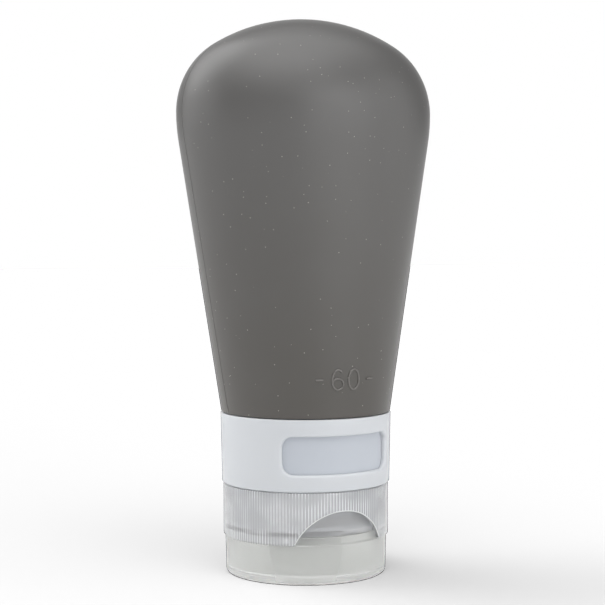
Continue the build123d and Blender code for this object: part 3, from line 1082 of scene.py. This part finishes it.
def make_lid(material):
    """The lid the bottle stands on: a cup with a nested rim, a seal ring and a plug."""
    base_radius = lid_high.x - LID_DRAFT
    outline = rounded(
        [
            Corner(0, 0),
            Corner(base_radius, 0, 3 * EASED),
            Corner(lid_high.x, lid_rim, CRISP),
            Corner(LID_NEST_RADIUS, lid_rim, CRISP),
            Corner(LID_NEST_RADIUS, lid_high.z, EASED),
            Corner(LID_NEST_BORE, lid_high.z, CRISP),
            Corner(LID_NEST_BORE, LID_TOP, SOFT),
            Corner(SEAL_RING_RADIUS, LID_TOP, EASED),
            Corner(SEAL_RING_RADIUS, SEAL_RING_END, EASED),
            Corner(SEAL_RING_BORE, SEAL_RING_END, EASED),
            Corner(SEAL_RING_BORE, LID_TOP, EASED),
            Corner(PLUG_RADIUS, LID_TOP, EASED),
            Corner(PLUG_RADIUS, PLUG_END, 2 * EASED),
            Corner(0, PLUG_END),
        ]
    )
    lid = turned_piece("flip_lid_cup", outline, material, ROUND_COLUMNS)
    far, above = cap_radius + OVERRUN, lid_high.z + OVERRUN
    flat = block(2 * far, hinge_flat, far, seam - HINGE_FLAT_HEIGHT, above)
    combine(lid, flat, "DIFFERENCE")
    relief = block(RELIEF_WIDTH, hinge_flat - RELIEF_DEPTH, far, lid_rim, above)
    combine(lid, relief, "DIFFERENCE")
    dress(lid, "lid", "lid_plastic", "flip_lid")


def make_hinge_film(material):
    """The living hinge: a thin strap with a groove over the seam, between cap and lid."""
    half = film_high.x
    rows, columns = FILM_ROWS, FILM_COLUMNS
    vertices, faces = [], []
    ring_count = 2 * (columns + 1)
    for row in range(rows + 1):
        height = film_low.z + (film_high.z - film_low.z) * row / rows
        dip = FILM_GROOVE * math.exp(-(((height - seam) / FILM_BEND) ** 2))
        across = [half * (2 * column / columns - 1) for column in range(columns + 1)]
        vertices += [(x, film_low.y + FILM_GAP, height) for x in across]
        vertices += [(x, film_high.y - dip, height) for x in reversed(across)]
    for row in range(rows):
        here = row * ring_count
        for index in range(ring_count):
            after = (index + 1) % ring_count
            faces.append(
                (here + index, here + after, here + ring_count + after, here + ring_count + index)
            )
    for here in (0, rows * ring_count):
        for index in range(columns):
            behind = ring_count - 1 - index
            faces.append((here + index, here + index + 1, here + behind - 1, here + behind))
    film = new_piece("living_hinge", vertices, faces, material)
    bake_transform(film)
    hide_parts("hinge_film")


def coat(node, material):
    """Give a CAD node that stays its material."""
    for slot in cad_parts[node].material_slots:
        slot.material = material


# Camera, floor and light
def aim_camera():
    """The photograph's viewpoint: a long lens a little above the closure, looking slightly down."""
    data = bpy.data.cameras.new("photo_camera")
    data.sensor_width = CAMERA_SENSOR
    data.lens = CAMERA_LENS
    camera = in_scene("photo_camera", data)
    ahead = Vector((-math.sin(CAMERA_AZIMUTH), math.cos(CAMERA_AZIMUTH), 0))
    camera.location = (Vector((0, 0, CAMERA_HEIGHT)) - ahead * CAMERA_DISTANCE) * MM
    turn = CAMERA_AZIMUTH + CAMERA_ASIDE
    camera.rotation_euler = (math.pi / 2 - CAMERA_TILT, CAMERA_ROLL, turn)
    bpy.context.scene.camera = camera


def pale_floor():
    """Matt white board, clear from below. In the frosted plastic it shows as the backdrop does."""
    material, tree = new_material("matt_white_board")
    board = add_node(tree, "ShaderNodeBsdfDiffuse", {"Color": linear("#e6e6e6")})
    backdrop = add_node(tree, "ShaderNodeEmission", {"Strength": WHITE})
    path = add_node(tree, "ShaderNodeLightPath").outputs
    mix = add_node(
        tree,
        "ShaderNodeMixShader",
        {0: path["Transmission Depth"], 1: board.outputs[0], 2: backdrop.outputs[0]},
    )
    clear = add_node(tree, "ShaderNodeBsdfTransparent")
    below = add_node(tree, "ShaderNodeNewGeometry").outputs["Backfacing"]
    sided = add_node(
        tree, "ShaderNodeMixShader", {0: below, 1: mix.outputs[0], 2: clear.outputs[0]}
    )
    add_node(tree, "ShaderNodeOutputMaterial", {"Surface": sided.outputs[0]})
    return material


def lay_floor():
    """A floor that only catches the object's soft shadow, on the white backdrop."""
    half = FLOOR_HALF * MM
    mesh = bpy.data.meshes.new("floor")
    corners = [(-half, -half, 0), (half, -half, 0), (half, half, 0), (-half, half, 0)]
    mesh.from_pydata(corners, [], [(0, 1, 2, 3)])
    mesh.materials.append(pale_floor())
    floor = in_scene("floor", mesh)
    floor.is_shadow_catcher = True
    floor.visible_transmission = False


def light_world():
    """A white studio: a dim room, a brighter surround behind the object, and the softboxes."""
    world = bpy.data.worlds.new("studio")
    bpy.context.scene.world = world
    world.use_nodes = True
    tree = world.node_tree
    tree.nodes.clear()
    way = add_node(tree, "ShaderNodeTexCoord").outputs["Generated"]

    def facing(aside, up):
        turn = CAMERA_AZIMUTH + math.radians(aside)
        flat = math.cos(math.radians(up))
        target = (math.sin(turn) * flat, -math.cos(turn) * flat, math.sin(math.radians(up)))
        return add_node(
            tree, "ShaderNodeVectorMath", {0: way, 1: target}, operation="DOT_PRODUCT"
        ).outputs["Value"]

    behind = add_node(
        tree,
        "ShaderNodeMapRange",
        {"Value": facing(180, 0), "From Min": SURROUND_EDGE, "From Max": 1.0},
        interpolation_type="SMOOTHSTEP",
    ).outputs["Result"]
    light = add_node(
        tree, "ShaderNodeMapRange", {"Value": behind, "To Min": ROOM, "To Max": SURROUND}
    ).outputs["Result"]
    for box in SOFTBOXES:
        glow = add_node(
            tree,
            "ShaderNodeMapRange",
            {
                "Value": facing(box.aside, box.up),
                "From Min": math.cos(math.radians(box.edge_angle)),
                "From Max": math.cos(math.radians(box.full_angle)),
                "To Max": box.strength,
            },
            interpolation_type="SMOOTHSTEP",
        ).outputs["Result"]
        light = add_node(tree, "ShaderNodeMath", {0: light, 1: glow}, operation="ADD").outputs[0]
    studio = add_node(tree, "ShaderNodeBackground", {"Color": (1, 1, 1, 1), "Strength": light})
    backdrop = add_node(tree, "ShaderNodeBackground", {"Color": (1, 1, 1, 1), "Strength": WHITE})
    path = add_node(tree, "ShaderNodeLightPath").outputs
    mirrored = add_node(
        tree, "ShaderNodeMath", {0: path["Is Glossy Ray"], 1: behind}, operation="MULTIPLY"
    ).outputs[0]
    seen = add_node(
        tree,
        "ShaderNodeMath",
        {0: path["Is Camera Ray"], 1: path["Is Transmission Ray"]},
        operation="MAXIMUM",
    ).outputs[0]
    white = add_node(tree, "ShaderNodeMath", {0: seen, 1: mirrored}, operation="MAXIMUM").outputs[0]
    mix = add_node(
        tree, "ShaderNodeMixShader", {0: white, 1: studio.outputs[0], 2: backdrop.outputs[0]}
    )
    add_node(tree, "ShaderNodeOutputWorld", {"Surface": mix.outputs[0]})


aim_camera()
lay_floor()
light_world()

# The body's two tones are painted shade, darker at the neck end and lighter at the dome
make_body(silicone_skin("silicone_satin", "#54514d", "#626160", 0.37))
# The mould's engraving is left polished, so the raised strokes catch more light; their tones are
# also painted paler than the body's, a painted highlight
make_capacity_mark(silicone_skin("silicone_polished_painted_highlight", "#6a6764", "#73716e", 0.24))
make_sleeve(opaque_moulding("polypropylene_white", "#d7dade", 0.38, POLYPROPYLENE_IOR))
coat("indicator_band", opaque_moulding("polypropylene_band", "#c8cdd5", 0.42, POLYPROPYLENE_IOR))
neck_plastic = opaque_moulding("polypropylene_neck", "#e6ecf3", 0.4, POLYPROPYLENE_IOR)
coat("neck_collar", neck_plastic)
coat("cap_gasket", opaque_moulding("silicone_gasket", "#d6d8da", 0.5, SILICONE_IOR))
coat("dispensing_valve", frosted_moulding("silicone_valve", "#e4e6e8", 0.5, 0.35, SILICONE_IOR))
coat("valve_retainer", opaque_moulding("polypropylene_retainer", "#d8dcdf", 0.4, POLYPROPYLENE_IOR))
frosted = frosted_moulding("polypropylene_frosted", "#f5f6f4", 0.73, 0.24, POLYPROPYLENE_IOR)
# The fluted skirt's rib crests are milkier and carry a painted highlight
fluted = frosted_moulding("polypropylene_fluted", "#fbfcfe", 0.72, 0.12, POLYPROPYLENE_IOR, True)
flutes, thread = flute_tree(), thread_tree()
make_neck_thread(thread, neck_plastic)
make_cap(flutes, thread, fluted)
# The bead's plastic is whiter and milkier than the skirt's, a painted highlight along the notch's
# edge
make_notch_edge(frosted_moulding("polypropylene_painted_highlight", "#fdfefe", 0.3, 0.1, POLYPROPYLENE_IOR))
make_lid(frosted)
make_hinge_film(frosted)

bpy.context.scene.view_settings.view_transform = "Standard"
